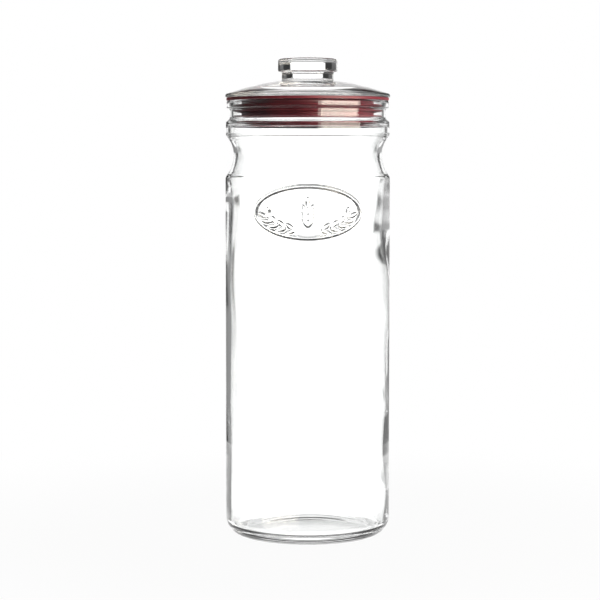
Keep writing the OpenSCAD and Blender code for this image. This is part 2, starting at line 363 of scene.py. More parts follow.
def lid_outline(s, rim_z):
    """The lid's outline, from the middle of its hollow out to the rim and up to the knob's top."""
    rim_top = rim_z + s.rim
    side_top = s.top - s.knob_crown
    knob_z = side_top - s.knob_height
    hollow = s.plug_radius - s.plug_wall
    keeper = s.plug_radius + s.keeper_out
    keeper_top = s.bottom + s.keeper_height

    def dome(radius):
        return rim_top + s.dome + bowl(radius, s.rim_radius, s.dome)

    ceiling = dome(0) - s.dome_wall
    run = s.rim_radius - s.stem_radius
    top = [(s.stem_radius + run * t, dome(s.stem_radius + run * t)) for t in shares(BEFORE_SMALL, 1)]
    crown = [
        (s.knob_radius * t, s.top + bowl(t, 1, s.knob_crown)) for t in shares(BEFORE_WIDE, 0)
    ]
    return outline(
        [
            (0, ceiling, 0),
            (hollow, ceiling, s.skirt_corner),
            (hollow, s.bottom, s.edge),
            (keeper, s.bottom, s.edge),
            (keeper, keeper_top, s.edge),
            (s.plug_radius, keeper_top, s.plug_root),
            (s.plug_radius, rim_z, s.plug_root),
            (s.rim_radius, rim_z, s.edge),
            (s.rim_radius, rim_top, s.edge),
            *plain(top),
            (s.stem_radius, dome(s.stem_radius), s.edge),
            (s.stem_radius, knob_z, s.edge),
            (s.knob_radius, knob_z, s.knob_edge),
            (s.knob_radius, side_top, s.knob_edge),
            *plain(crown),
        ]
    )


# How far a fin's tip lies above its root, and how thick it is there, in thicknesses of the root
FIN_LEAN = 0.6
FIN_TAPER = 0.5


def seal_outline(s, jar):
    """The seal's closed outline: sleeve, leaning fins and flange."""
    fin_radius = jar.bore_radius - s.fin_gap
    sleeve = fin_radius - s.fin_reach
    inner = sleeve - s.sleeve
    top = jar.height + s.flange - s.skin_gap
    seat = jar.height + s.skin_gap
    fin_z = [jar.height - s.fin_drop - i * s.fin_pitch for i in range(s.fins)]
    foot = fin_z[-1] - s.sleeve_foot
    corners = [
        (inner, foot, s.edge),
        (sleeve, foot, s.edge),
    ]
    for z in reversed(fin_z):
        tip = z + s.fin * FIN_LEAN
        half_tip = s.fin * FIN_TAPER / 2
        corners += [
            (sleeve, z - s.fin / 2, s.edge),
            (fin_radius, tip - half_tip, s.edge),
            (fin_radius, tip + half_tip, s.edge),
            (sleeve, z + s.fin / 2, s.edge),
        ]
    corners += [
        (sleeve, seat, s.edge),
        (s.flange_radius, seat, s.edge),
        (s.flange_radius, top, s.edge),
        (inner, top, s.mouth_edge),
    ]
    return outline(corners, closed=True)


# Small helpers for node trees


def add_node(tree, kind, inputs=None, **settings):
    """Adds a node, sets its settings, and links or sets its inputs."""
    node = tree.nodes.new(kind)
    for name, value in settings.items():
        setattr(node, name, value)
    for key, value in (inputs or {}).items():
        if isinstance(value, bpy.types.NodeSocket):
            tree.links.new(value, node.inputs[key])
        else:
            node.inputs[key].default_value = value
    return node


def maths(tree, operation, a, b=0.0, c=0.0):
    values = {0: a, 1: b, 2: c}
    return add_node(tree, "ShaderNodeMath", values, operation=operation).outputs[0]


def product(tree, first, *others):
    for other in others:
        first = maths(tree, "MULTIPLY", first, other)
    return first


def blend(tree, share, start, end):
    """Goes from start to end as the share goes from 0 to 1."""
    inputs = {0: share, 2: start, 3: end}
    return add_node(tree, "ShaderNodeMix", inputs, data_type="FLOAT").outputs[0]


def ramped(tree, value, low, high, to_low=0.0, to_high=1.0):
    """A smooth step from to_low to to_high as value goes from low to high."""
    inputs = {0: value, 1: low, 2: high, 3: to_low, 4: to_high}
    node = add_node(tree, "ShaderNodeMapRange", inputs, interpolation_type="SMOOTHSTEP")
    return node.outputs[0]


def vector(tree, x, y, z):
    return add_node(tree, "ShaderNodeCombineXYZ", {0: x, 1: y, 2: z}).outputs[0]


def split(tree, socket):
    return add_node(tree, "ShaderNodeSeparateXYZ", {0: socket}).outputs


def light_path(tree):
    return add_node(tree, "ShaderNodeLightPath").outputs


def geometry_tree(name, inputs):
    """A new geometry tree with a Geometry input and output, and more inputs (name, socket type)."""
    tree = bpy.data.node_groups.new(name, "GeometryNodeTree")
    tree.interface.new_socket("Geometry", in_out="INPUT", socket_type="NodeSocketGeometry")
    for label, kind in inputs:
        tree.interface.new_socket(label, in_out="INPUT", socket_type="NodeSocket" + kind)
    tree.interface.new_socket("Geometry", in_out="OUTPUT", socket_type="NodeSocketGeometry")
    return tree, tree.nodes.new("NodeGroupInput").outputs


def finish_tree(tree, geometry, material):
    """Ends a tree in real geometry with its material."""
    real = add_node(tree, "GeometryNodeRealizeInstances", {0: geometry}).outputs[0]
    dressed = add_node(tree, "GeometryNodeSetMaterial", {"Geometry": real, "Material": material})
    add_node(tree, "NodeGroupOutput", {0: dressed.outputs[0]})


# Geometry tree: a shape turned about the Z axis from the rows of its outline


def turned_tree():
    """Turns an outline. Its rows say where the wall wavers, where it is thick and where the emblem lies."""
    tree, given = geometry_tree(
        "Turned Shape",
        [
            ("Front Columns", "Int"),
            ("Back Columns", "Int"),
            ("Front Angle", "Float"),
            ("Wave", "Float"),
            ("Wave Length", "Float"),
            ("Wave Seed", "Float"),
            ("Relief", "Float"),
            ("Soft Edge", "Float"),
            ("Emblem Height", "Float"),
            ("Emblem", "Object"),
            ("Material", "Material"),
        ],
    )
    profile = given["Geometry"]
    rows = add_node(tree, "GeometryNodeAttributeDomainSize", {0: profile}).outputs["Point Count"]
    front, back = given["Front Columns"], given["Back Columns"]
    columns = maths(tree, "ADD", maths(tree, "ADD", front, back), 1.0)
    grid = add_node(tree, "GeometryNodeMeshGrid", {"Vertices X": columns, "Vertices Y": rows})

    index = add_node(tree, "GeometryNodeInputIndex").outputs[0]
    row = maths(tree, "MODULO", index, rows)
    column = maths(tree, "FLOOR", maths(tree, "DIVIDE", maths(tree, "ADD", index, 0.5), rows))

    def sampled(kind, value):
        inputs = {"Geometry": profile, "Value": value, "Index": row}
        node = add_node(tree, "GeometryNodeSampleIndex", inputs, data_type=kind, domain="POINT")
        return node.outputs[0]

    def row_value(name):
        named = add_node(tree, "GeometryNodeInputNamedAttribute", {"Name": name}, data_type="FLOAT")
        return sampled("FLOAT", named.outputs[0])

    point = split(tree, sampled("FLOAT_VECTOR", add_node(tree, "GeometryNodeInputPosition").outputs[0]))
    radius, height = point[0], point[2]

    half = given["Front Angle"]
    in_front = maths(tree, "MULTIPLY_ADD", maths(tree, "DIVIDE", column, front), 2.0, -1.0)
    front_angle = maths(tree, "MULTIPLY", in_front, half)
    past = maths(tree, "DIVIDE", maths(tree, "SUBTRACT", column, front), back)
    rest = maths(tree, "MULTIPLY_ADD", half, -2.0, math.tau)
    back_angle = maths(tree, "MULTIPLY_ADD", past, rest, half)
    behind = maths(tree, "GREATER_THAN", column, front)
    angle = blend(tree, behind, front_angle, back_angle)
    sine, cosine = maths(tree, "SINE", angle), maths(tree, "COSINE", angle)

    # The blown inner wall: thick spots left and right, and a slow waver
    to_right = maths(tree, "POWER", maths(tree, "MULTIPLY_ADD", sine, 0.5, 0.5), 2.0)
    to_left = maths(tree, "POWER", maths(tree, "MULTIPLY_ADD", sine, -0.5, 0.5), 2.0)
    spots = maths(
        tree,
        "ADD",
        maths(tree, "MULTIPLY", to_right, row_value("thick_right")),
        maths(tree, "MULTIPLY", to_left, row_value("thick_left")),
    )
    along = maths(tree, "DIVIDE", height, given["Wave Length"])
    noise = add_node(
        tree,
        "ShaderNodeTexNoise",
        {"Vector": vector(tree, sine, cosine, along), "W": given["Wave Seed"], "Scale": 1.0, "Detail": 1.0},
        noise_dimensions="4D",
    )
    waver = maths(tree, "SUBTRACT", noise.outputs[0], 0.5)
    waver = product(tree, waver, 2.0, given["Wave"], row_value("wave"))

    # The emblem: glass is raised where the wall lies over the flat motif
    motif = add_node(tree, "GeometryNodeObjectInfo", {"Object": given["Emblem"]}).outputs["Geometry"]
    across = maths(tree, "MULTIPLY", radius, sine)
    over = vector(tree, across, maths(tree, "SUBTRACT", height, given["Emblem Height"]), 0.0)
    near = add_node(
        tree, "GeometryNodeProximity", {"Geometry": motif, "Sample Position": over}, target_element="FACES"
    )
    slope = {0: near.outputs["Distance"], 1: 0.0, 2: given["Soft Edge"], 3: 1.0, 4: 0.0}
    step = add_node(tree, "ShaderNodeMapRange", slope).outputs[0]
    in_view = maths(tree, "SUBTRACT", 1.0, behind)
    raised = product(tree, step, given["Relief"], row_value("relief"), in_view)

    reach = maths(tree, "ADD", maths(tree, "SUBTRACT", radius, spots), maths(tree, "ADD", waver, raised))
    place = vector(
        tree,
        maths(tree, "MULTIPLY", reach, sine),
        product(tree, reach, cosine, -1.0),
        height,
    )
    shape = add_node(
        tree, "GeometryNodeSetPosition", {"Geometry": grid.outputs["Mesh"], "Position": place}
    )
    welded = add_node(tree, "GeometryNodeMergeByDistance", {"Geometry": shape.outputs[0], "Distance": WELD})
    smoothed = add_node(tree, "GeometryNodeSetShadeSmooth", {"Geometry": welded.outputs[0]})
    finish_tree(tree, smoothed.outputs[0], given["Material"])
    return tree


# Geometry tree: the flat motif of the emblem

OVAL_POINTS = 96
GRAIN_POINTS = 24
# Places of the grains: aside in a pair as a share of a grain's width, the rest as shares of its length
GRAIN_ASIDE = 0.32
SPRIG_ASIDE = 1.15
SPRIG_UP = 0.7
EAR_PITCH = 0.72


def emblem_tree():
    """An oval line around two sprigs and an upright ear of wheat, flat in the XY plane."""
    tree, given = geometry_tree(
        "Emblem Motif",
        [
            ("Width", "Float"),
            ("Height", "Float"),
            ("Line", "Float"),
            ("Grain Length", "Float"),
            ("Grain Width", "Float"),
            ("Sprig Pairs", "Int"),
            ("Ear Pairs", "Int"),
            ("Sprig Start", "Float"),
            ("Sprig Sweep", "Float"),
            ("Splay", "Float"),
            ("Material", "Material"),
        ],
    )
    grain_l, grain_w = given["Grain Length"], given["Grain Width"]

    def oval(inset):
        inputs = {"Resolution": OVAL_POINTS, "Radius": 0.5}
        circle = add_node(tree, "GeometryNodeCurvePrimitiveCircle", inputs)
        size = vector(
            tree,
            maths(tree, "MULTIPLY_ADD", inset, -2.0, given["Width"]),
            maths(tree, "MULTIPLY_ADD", inset, -2.0, given["Height"]),
            1.0,
        )
        moved = add_node(tree, "GeometryNodeTransform", {"Geometry": circle.outputs[0], "Scale": size})
        return moved.outputs[0]

    ovals = add_node(tree, "GeometryNodeJoinGeometry")
    tree.links.new(oval(0.0), ovals.inputs[0])
    tree.links.new(oval(given["Line"]), ovals.inputs[0])
    line = add_node(tree, "GeometryNodeFillCurve", {"Curve": ovals.outputs[0]}).outputs[0]

    # One pointed grain, its root at the origin and its tip on +Y
    circle = add_node(
        tree, "GeometryNodeMeshCircle", {"Vertices": GRAIN_POINTS, "Radius": 1.0}, fill_type="NGON"
    ).outputs[0]
    at = split(tree, add_node(tree, "GeometryNodeInputPosition").outputs[0])
    side = maths(tree, "MULTIPLY", at[0], maths(tree, "ABSOLUTE", at[0]))
    x = product(tree, side, grain_w, 0.5)
    y = maths(tree, "MULTIPLY", maths(tree, "MULTIPLY_ADD", at[1], 0.5, 0.5), grain_l)
    grain = add_node(
        tree, "GeometryNodeSetPosition", {"Geometry": circle, "Position": vector(tree, x, y, 0.0)}
    ).outputs[0]

    pair = add_node(tree, "GeometryNodeJoinGeometry")
    for hand in (-1.0, 1.0):
        aside = maths(tree, "MULTIPLY", grain_w, GRAIN_ASIDE * hand)
        lean = maths(tree, "MULTIPLY", given["Splay"], -hand)
        turned = add_node(
            tree,
            "GeometryNodeTransform",
            {
                "Geometry": grain,
                "Translation": vector(tree, aside, 0.0, 0.0),
                "Rotation": vector(tree, 0.0, 0.0, lean),
            },
        )
        tree.links.new(turned.outputs[0], pair.inputs[0])

    motif = add_node(tree, "GeometryNodeJoinGeometry")
    tree.links.new(line, motif.inputs[0])

    def placed(number, place, turn, shape):
        points = add_node(tree, "GeometryNodePoints", {"Count": number, "Position": place})
        copies = add_node(
            tree,
            "GeometryNodeInstanceOnPoints",
            {"Points": points.outputs[0], "Instance": shape, "Rotation": turn},
        )
        tree.links.new(copies.outputs[0], motif.inputs[0])

    # Sprigs follow a smaller oval, and rise left and right from its foot
    index = add_node(tree, "GeometryNodeInputIndex").outputs[0]

    def sprig_half(size, inset):
        inside = maths(tree, "MULTIPLY_ADD", size, 0.5, maths(tree, "MULTIPLY", given["Line"], -1.0))
        return maths(tree, "MULTIPLY_ADD", grain_l, -inset, inside)

    sprig_w = sprig_half(given["Width"], SPRIG_ASIDE)
    sprig_h = sprig_half(given["Height"], SPRIG_UP)
    share = maths(tree, "DIVIDE", index, given["Sprig Pairs"])
    angle = maths(tree, "MULTIPLY_ADD", share, given["Sprig Sweep"], given["Sprig Start"])
    sine, cosine = maths(tree, "SINE", angle), maths(tree, "COSINE", angle)
    for hand in (-1.0, 1.0):
        wide = maths(tree, "MULTIPLY", sprig_w, hand)
        place = vector(
            tree,
            maths(tree, "MULTIPLY", wide, sine),
            product(tree, sprig_h, cosine, -1.0),
            0.0,
        )
        slope = maths(
            tree,
            "ARCTAN2",
            maths(tree, "MULTIPLY", sprig_h, sine),
            maths(tree, "MULTIPLY", wide, cosine),
        )
        turn = vector(tree, 0.0, 0.0, maths(tree, "SUBTRACT", slope, math.pi / 2))
        placed(given["Sprig Pairs"], place, turn, pair.outputs[0])

    # The ear stands between the sprigs and ends in one grain
    pitch = maths(tree, "MULTIPLY", grain_l, EAR_PITCH)
    tall = maths(tree, "MULTIPLY", given["Ear Pairs"], pitch)
    foot = maths(tree, "MULTIPLY", maths(tree, "ADD", tall, grain_l), -0.5)
    stand = vector(tree, 0.0, maths(tree, "MULTIPLY_ADD", index, pitch, foot), 0.0)
    upright = vector(tree, 0.0, 0.0, 0.0)
    placed(given["Ear Pairs"], stand, upright, pair.outputs[0])
    placed(1, vector(tree, 0.0, maths(tree, "ADD", foot, tall), 0.0), upright, grain)
    finish_tree(tree, motif.outputs[0], given["Material"])
    return tree


# From outlines to finished pieces


def node_object(name, mesh, tree, values):
    """An object whose mesh goes through a geometry tree, its inputs set by their identifiers."""
    piece = bpy.data.objects.new(name, mesh)
    modifier = piece.modifiers.new("Build", "NODES")
    modifier.node_group = tree
    for item in tree.interface.items_tree:
        if item.item_type == "SOCKET" and item.in_out == "INPUT" and item.name in values:
            modifier[item.identifier] = values[item.name]
    bpy.context.scene.collection.objects.link(piece)
    return piece


def baked(piece):
    """Replaces the object's mesh by what its modifiers make of it."""
    bpy.context.view_layer.update()
    graph = bpy.context.evaluated_depsgraph_get()
    mesh = bpy.data.meshes.new_from_object(piece.evaluated_get(graph))
    mesh.name = piece.name
    if not mesh.polygons:
        raise RuntimeError(f"{piece.name} came out empty")
    piece.modifiers.clear()
    piece.data = mesh
    return piece


ROW_VALUES = ("wave", "thick_left", "thick_right", "relief")


def turned_piece(name, rows, values, row_values=None):
    """Turns rows of (radius, height) into a plain mesh."""
    mesh = bpy.data.meshes.new(name + "_rows")
    mesh.from_pydata([(r, 0.0, z) for r, z in rows], [], [])
    for key in ROW_VALUES:
        layer = mesh.attributes.new(key, "FLOAT", "POINT")
        layer.data.foreach_set("value", (row_values or {}).get(key, [0.0] * len(rows)))
    tree = bpy.data.node_groups.get("Turned Shape") or turned_tree()
    settings = {"Wave Length": 1.0, "Soft Edge": 1.0, "Front Angle": math.pi / 2}
    return baked(node_object(name, mesh, tree, settings | values))


def hand_in(piece, body, node):
    """Hangs the piece on the body that it rides on, and hides the CAD node that it stands for."""
    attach(piece, body)
    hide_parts(node)


# Materials

# Noise values over which haze and cloudiness grow, and the roughness that they lead from and to
HAZE_GROWS = (0.45, 0.8)
HAZE_ROUGHNESS = (0.0, 0.02)
CLOUD_GROWS = (0.3, 0.7)
CLOUD_ROUGHNESS = (0.32, 0.44)
JAR_RIPPLE = 35.0
LID_RIPPLE = 60.0


def new_material(name):
    material = bpy.data.materials.new(name)
    material.use_nodes = True
    tree = material.node_tree
    tree.nodes.clear()
    return material, tree


def glass_material(name, tint, ripple_scale):
    """Clear soda-lime glass: faint surface ripple and handling haze, and lamps shine through it."""
    material, tree = new_material(name)
    place = add_node(tree, "ShaderNodeTexCoord").outputs["Object"]
    ripple = add_node(tree, "ShaderNodeTexNoise", {"Vector": place, "Scale": ripple_scale, "Detail": 1.5})
    bump = add_node(
        tree, "ShaderNodeBump", {"Height": ripple.outputs[0], "Strength": 0.05, "Distance": 0.3 * MM}
    )
    haze = add_node(tree, "ShaderNodeTexNoise", {"Vector": place, "Scale": 45.0, "Detail": 4.0})
    rough = ramped(tree, haze.outputs[0], *HAZE_GROWS, *HAZE_ROUGHNESS)
    glass = add_node(
        tree,
        "ShaderNodeBsdfPrincipled",
        {
            "Base Color": tint,
            "Roughness": rough,
            "IOR": 1.5,
            "Transmission Weight": 1.0,
            "Normal": bump.outputs[0],
        },
    )
    clear = add_node(tree, "ShaderNodeBsdfTransparent", {"Color": tint})
    to_lamp = light_path(tree)["Is Shadow Ray"]
    surface = add_node(tree, "ShaderNodeMixShader", {0: to_lamp, 1: glass.outputs[0], 2: clear.outputs[0]})
    add_node(tree, "ShaderNodeOutputMaterial", {"Surface": surface.outputs[0]})
    return material


def silicone_material(look):
    """Deep red silicone: slightly cloudy, satin, with moulding dust in its surface."""
    material, tree = new_material("seal_silicone")
    place = add_node(tree, "ShaderNodeTexCoord").outputs["Object"]
    cloud = add_node(tree, "ShaderNodeTexNoise", {"Vector": place, "Scale": 60.0, "Detail": 3.0})
    red = add_node(
        tree,
        "ShaderNodeMix",
        {0: ramped(tree, cloud.outputs[0], *CLOUD_GROWS), 6: look.silicone_dark, 7: look.silicone},
        data_type="RGBA",
    )
    grain = add_node(tree, "ShaderNodeTexNoise", {"Vector": place, "Scale": 900.0, "Detail": 2.0})
    bump = add_node(
        tree, "ShaderNodeBump", {"Height": grain.outputs[0], "Strength": 0.15, "Distance": 0.05 * MM}
    )
    rough = ramped(tree, cloud.outputs[0], *CLOUD_GROWS, *CLOUD_ROUGHNESS)
    rubber = add_node(
        tree,
        "ShaderNodeBsdfPrincipled",
        {
            "Base Color": red.outputs[2],
            "Roughness": rough,
            "IOR": 1.41,
            "Specular IOR Level": 1.0,
            "Subsurface Weight": 0.15,
            "Subsurface Radius": (1.5 * MM, 0.4 * MM, 0.3 * MM),
            "Subsurface Scale": 1.0,
            "Normal": bump.outputs[0],
        },
    )
    add_node(tree, "ShaderNodeOutputMaterial", {"Surface": rubber.outputs[0]})
    return material


# Operators

# Thick and thin spots of the blown inner wall: height, spread and extra wall, in millimetres
THICK_LEFT = [
    (224, 20, 1.2),
    (86, 18, -0.3),
    (51, 24, 0.3),
]
THICK_RIGHT = [
    (232, 12, 0.4),
    (212, 16, 0.8),
    (201, 11, 0.9),
    (178, 9, -0.5),
    (150, 34, -2.2),
    (86, 11, -0.7),
    (52, 16, 0.5),
    (25, 14, -0.5),
]
# The wall is even at the floor and at the shoulder, and uneven from these distances on
UNEVEN_UP = 8 * MM
UNEVEN_DOWN = 12 * MM
WAVE_LENGTH = 55 * MM
WAVE_SEED = 4.0
EMBLEM_MARGIN = 0.5 * MM
SPRIG_START = math.radians(20)
SPRIG_SWEEP = math.radians(68)
GRAIN_SPLAY = math.radians(30)


def spot_rows(rows, spots):
    """Extra wall at each row from a list of thick and thin spots."""
    return [
        sum(extra * MM * math.exp(-(((z - at * MM) / (spread * MM)) ** 2)) for at, spread, extra in spots)
        for _, z in rows
    ]


def emblem_motif(emblem, glass):
    """The flat motif over which the jar's front is raised."""
    values = {
        "Width": emblem.width,
        "Height": emblem.height,
        "Line": emblem.line,
        "Grain Length": emblem.grain_length,
        "Grain Width": emblem.grain_width,
        "Sprig Pairs": emblem.sprig_pairs,
        "Ear Pairs": emblem.ear_pairs,
        "Sprig Start": SPRIG_START,
        "Sprig Sweep": SPRIG_SWEEP,
        "Splay": GRAIN_SPLAY,
        "Material": glass,
    }
    return node_object("emblem_motif", bpy.data.meshes.new("emblem_motif"), emblem_tree(), values)


class PASTA_OT_glass_jar(bpy.types.Operator):
    """Turn the blown-glass jar with its uneven inner wall and embossed oval"""

    bl_idname = "pasta.glass_jar"
    bl_label = "Glass Jar"

    def execute(self, context):
        sizes, emblem = context.scene.jar_sizes, context.scene.emblem_sizes
        shape = JarShape(sizes)
        emblem_z = shape.shoulder_z - emblem.drop
        margin = emblem.soft_edge + EMBLEM_MARGIN
        band_half = emblem.height / 2 + margin
        band_rows = round(2 * band_half / EMBLEM_ROW)
        band = [emblem_z - band_half + 2 * band_half * i / band_rows for i in range(band_rows + 1)]
        outer = spaced(shape.outside(band), OUTER_ROW)
        inner = spaced(shape.inside(), INNER_ROW)
        rows = outer[:-1] + inner
        low, high = sizes.floor + sizes.inner_heel, shape.shoulder_z
        inner_share = [
            smooth(low, low + UNEVEN_UP, z) * (1 - smooth(high - UNEVEN_DOWN, high, z)) for _, z in inner
        ]
        on_outside = [0.0] * (len(outer) - 1)

        def wall_rows(values):
            return on_outside + [share * value for share, value in zip(inner_share, values)]

        row_values = {
            "wave": wall_rows([1.0] * len(inner)),
            "thick_left": wall_rows(spot_rows(inner, THICK_LEFT)),
            "thick_right": wall_rows(spot_rows(inner, THICK_RIGHT)),
            "relief": [float(abs(z - emblem_z) <= band_half) for _, z in outer[:-1]] + [0.0] * len(inner),
        }
        glass = glass_material("jar_glass", context.scene.jar_look.glass, JAR_RIPPLE)
        motif = emblem_motif(emblem, glass)
        half_width = emblem.width / 2 + margin
        jar = turned_piece(
            "jar",
            rows,
            {
                "Front Columns": 190,
                "Back Columns": 82,
                "Front Angle": math.asin(half_width / sizes.body_radius),
                "Wave": sizes.wave,
                "Wave Length": WAVE_LENGTH,
                "Wave Seed": WAVE_SEED,
                "Relief": emblem.relief,
                "Soft Edge": emblem.soft_edge,
                "Emblem Height": emblem_z,
                "Emblem": motif,
                "Material": glass,
            },
            row_values,
        )
        bpy.data.objects.remove(motif)
        hand_in(jar, "jar", "glass_jar")
        return {"FINISHED"}


class PASTA_OT_seal_ring(bpy.types.Operator):
    """Turn the silicone seal with its flange and fins"""

    bl_idname = "pasta.seal_ring"
    bl_label = "Seal Ring"

    def execute(self, context):
        scene = context.scene
        rows = spaced(seal_outline(scene.seal_sizes, scene.jar_sizes), SEAL_ROW, SEAL_HEM)
        values = {
            "Front Columns": 80,
            "Back Columns": 80,
            "Material": silicone_material(scene.jar_look),
        }
        hand_in(turned_piece("seal", rows, values), "seal", "seal_ring")
        return {"FINISHED"}


class PASTA_OT_glass_lid(bpy.types.Operator):
    """Turn the pressed-glass lid with its knob and hollow plug"""

    bl_idname = "pasta.glass_lid"
    bl_label = "Glass Lid"

    def execute(self, context):
        scene = context.scene
        rim_z = scene.jar_sizes.height + scene.seal_sizes.flange
        rows = spaced(lid_outline(scene.lid_sizes, rim_z), LID_ROW)
        values = {
            "Front Columns": 100,
            "Back Columns": 100,
            "Material": glass_material("lid_glass", scene.jar_look.glass, LID_RIPPLE),
        }
        hand_in(turned_piece("lid", rows, values), "lid", "glass_lid")
        return {"FINISHED"}


# Stage: camera, lamps, studio surroundings and floor. Lengths are in metres and angles in degrees.

EYE_ASIDE = -0.0051
EYE_DISTANCE = 1.29
EYE_HEIGHT = 0.2504
AIM_HEIGHT = 0.1575
LENS_MM = 115.6
CLIP_END = 50.0

# Lamps: azimuth from the front towards the right, elevation, width, height and radiance
KEY_LAMP = (48, 0.5, 1.12, 0.36, 7.4)
KEY_EDGE_LAMP = (16.5, 0.5, 0.08, 0.36, 3.0)
SIDE_LAMP = (85, 8, 0.5, 0.5, 7.0)
BACK_LAMP = (-140, 12, 0.5, 0.5, 5.0)
LAMP_DISTANCE = 1.0

# Strength of the white that shows through glass. It is over 1, because glass takes part of the light.
BRIGHT = 1.45
# White cards around the set that show through glass:
# azimuth from the front, half width, lowest and highest elevation, strength
CLEAR_CARDS = (
    (180, 13, -14, 8, BRIGHT),
    (180, 30, -14, -4.5, BRIGHT),
    (180, 22, -0.5, 8, BRIGHT),
    (180, 22, -34, -23, BRIGHT),
    (127, 10, -3, 6, 0.2),
    (-122, 16, -3, 6, 0.15),
    (94, 13, -13, 2, 0.6),
    (-90, 13, -13, -1, 1.15),
    (180, 50, 28, 75, 1.15),
    (180, 70, -40, -26, 1.0),
)
# Cards for light that crossed a hollow
HOLLOW_CARDS = (
    (-135, 22, -42, -4, BRIGHT),
    (45, 22, -42, -4, BRIGHT),
)
# Cards for light that went through one wall or the solid knob, and crossed no hollow
SOLID_CARDS = (
    (-135, 14, -42, -13, 1.15),
    (45, 14, -42, -6, 1.15),
    (180, 24, -24, -10, BRIGHT),
    (180, 22, -0.5, 14, BRIGHT),
    (180, 25, 1.5, 14, BRIGHT),
)
# The card for light that was mirrored nowhere
SIDE_CARDS = ((-90, 24, -42, 14, BRIGHT),)
# Cards that show in reflections
MIRROR_CARDS = (
    (180, 14, -13, 9, 1.0),
    (125, 40, -13, 2, 0.6),
    (180, 6, 4.5, 40, 1.0),
)
CARD_EDGE = math.radians(1.5)

# Strength of the studio below and above the horizon, of the band that one wall shows, and of the fill
DARK = 0.14
DARKER = 0.04
WALL = 0.33
FILL = 0.08
# Elevations over which the studio and the ends of that band change
HORIZON = (0.0, 2.0)
BAND_LOW = (-11.0, -9.0)
BAND_HIGH = (-1.5, -0.3)

FLOOR_RADIUS = 0.45
FLOOR_SIDES = 96
FLOOR_DROP = 0.3 * MM
# The floor keeps most shadow beside the jar, and fades to white over these distances from its axis
FADE = (0.12, 0.95 * FLOOR_RADIUS)
FADE_START = 0.95
# White strips on the floor that show through glass: azimuth from the front, half angle, and
# half width beside the jar. Each starts beside the jar's foot and widens outwards.
FLOOR_STRIPS = (
    (180, 30, 0.05),
    (-135, 22, 0.03),
    (45, 22, 0.03),
    (-90, 24, 0.03),
)
STRIP_START = (0.05, 0.056)
STRIP_EDGE = 0.004
# Where the bright floor under the jar ends: at the foot, past which a painted shadow of the foot shows
# through glass, and at the body for light through a hollow
FOOT_SHADOW_START = (0.037, 0.042)
UNDER_BODY = (0.054, 0.06)
# The floor that one wall shows: the distances where it starts and turns lighter, and both strengths
WALL_FLOOR_START = (0.08, 0.1)
WALL_FLOOR_TURN = (0.33, 0.37)
WALL_FLOOR = (0.12, 0.5)

# Light goes into one wall and out of it with a depth of 2, so a second wall starts at 3
SECOND_WALL = 3.0
FIRST_MIRROR = 1.0


def make_camera(scene):
    """A long lens at the height of the waisted neck, looking slightly down."""
    data = bpy.data.cameras.new("camera")
    data.lens = LENS_MM
    data.clip_end = CLIP_END
    camera = bpy.data.objects.new("camera", data)
    eye = Vector((EYE_ASIDE, -EYE_DISTANCE, EYE_HEIGHT))
    gaze = Vector((EYE_ASIDE, 0.0, AIM_HEIGHT)) - eye
    camera.location = eye
    camera.rotation_euler = gaze.to_track_quat("-Z", "Y").to_euler()
    scene.collection.objects.link(camera)
    scene.camera = camera


def make_lamp(scene, name, azimuth, elevation, width, height, radiance, tint=WHITE, seen=True):
    """A softbox aimed at the jar. One that isn't seen lights what is dull, and no glass shows it."""
    data = bpy.data.lights.new(name, "AREA")
    data.shape = "RECTANGLE"
    data.size, data.size_y = width, height
    data.energy = radiance * math.pi * width * height
    data.color = tint[:3]
    lamp = bpy.data.objects.new(name, data)
    aim = Vector((0.0, 0.0, scene.jar_sizes.height / 2))
    a, e = math.radians(azimuth), math.radians(elevation)
    away = Vector((math.sin(a) * math.cos(e), -math.cos(a) * math.cos(e), math.sin(e)))
    lamp.location = aim + away * LAMP_DISTANCE
    lamp.rotation_euler = (-away).to_track_quat("-Z", "Y").to_euler()
    lamp.visible_camera = False
    lamp.visible_glossy = lamp.visible_transmission = seen
    scene.collection.objects.link(lamp)


def ray_kinds(tree):
    """Which rays look at the background: straight from the camera, mirrored, or through glass."""
    path = light_path(tree)
    mirrored = maths(tree, "MULTIPLY", path["Is Glossy Ray"], path["Is Reflection Ray"])
    return path["Is Camera Ray"], mirrored, path["Is Transmission Ray"]


def in_one_wall(tree):
    """Light that went through one wall or the solid knob, and crossed no hollow."""
    return maths(tree, "LESS_THAN", light_path(tree)["Transmission Depth"], SECOND_WALL)


def never_mirrored(tree):
    """Light that only went through glass, and was mirrored nowhere on its way."""
    return maths(tree, "LESS_THAN", light_path(tree)["Glossy Depth"], FIRST_MIRROR)


def azimuth_of(tree, way):
    """Azimuth of a direction or place, from the front towards the right."""
    return maths(tree, "ARCTAN2", way[0], maths(tree, "MULTIPLY", way[1], -1.0))


def sector(tree, azimuth, centre, half):
    """How far an azimuth lies inside a sector, with soft edges."""
    half = math.radians(half)
    aside = maths(tree, "COSINE", maths(tree, "SUBTRACT", azimuth, math.radians(centre)))
    return ramped(tree, aside, math.cos(half + CARD_EDGE), math.cos(half - CARD_EDGE))


def card_light(tree, azimuth, rise, card):
    """How much of a card a direction sees, from its azimuth and the sine of its elevation."""
    centre, half, low, high, strength = card
    low, high = math.radians(low), math.radians(high)
    above = ramped(tree, rise, math.sin(low - CARD_EDGE), math.sin(low + CARD_EDGE))
    below = ramped(tree, rise, math.sin(high - CARD_EDGE), math.sin(high + CARD_EDGE), strength, 0.0)
    return product(tree, above, below, sector(tree, azimuth, centre, half))


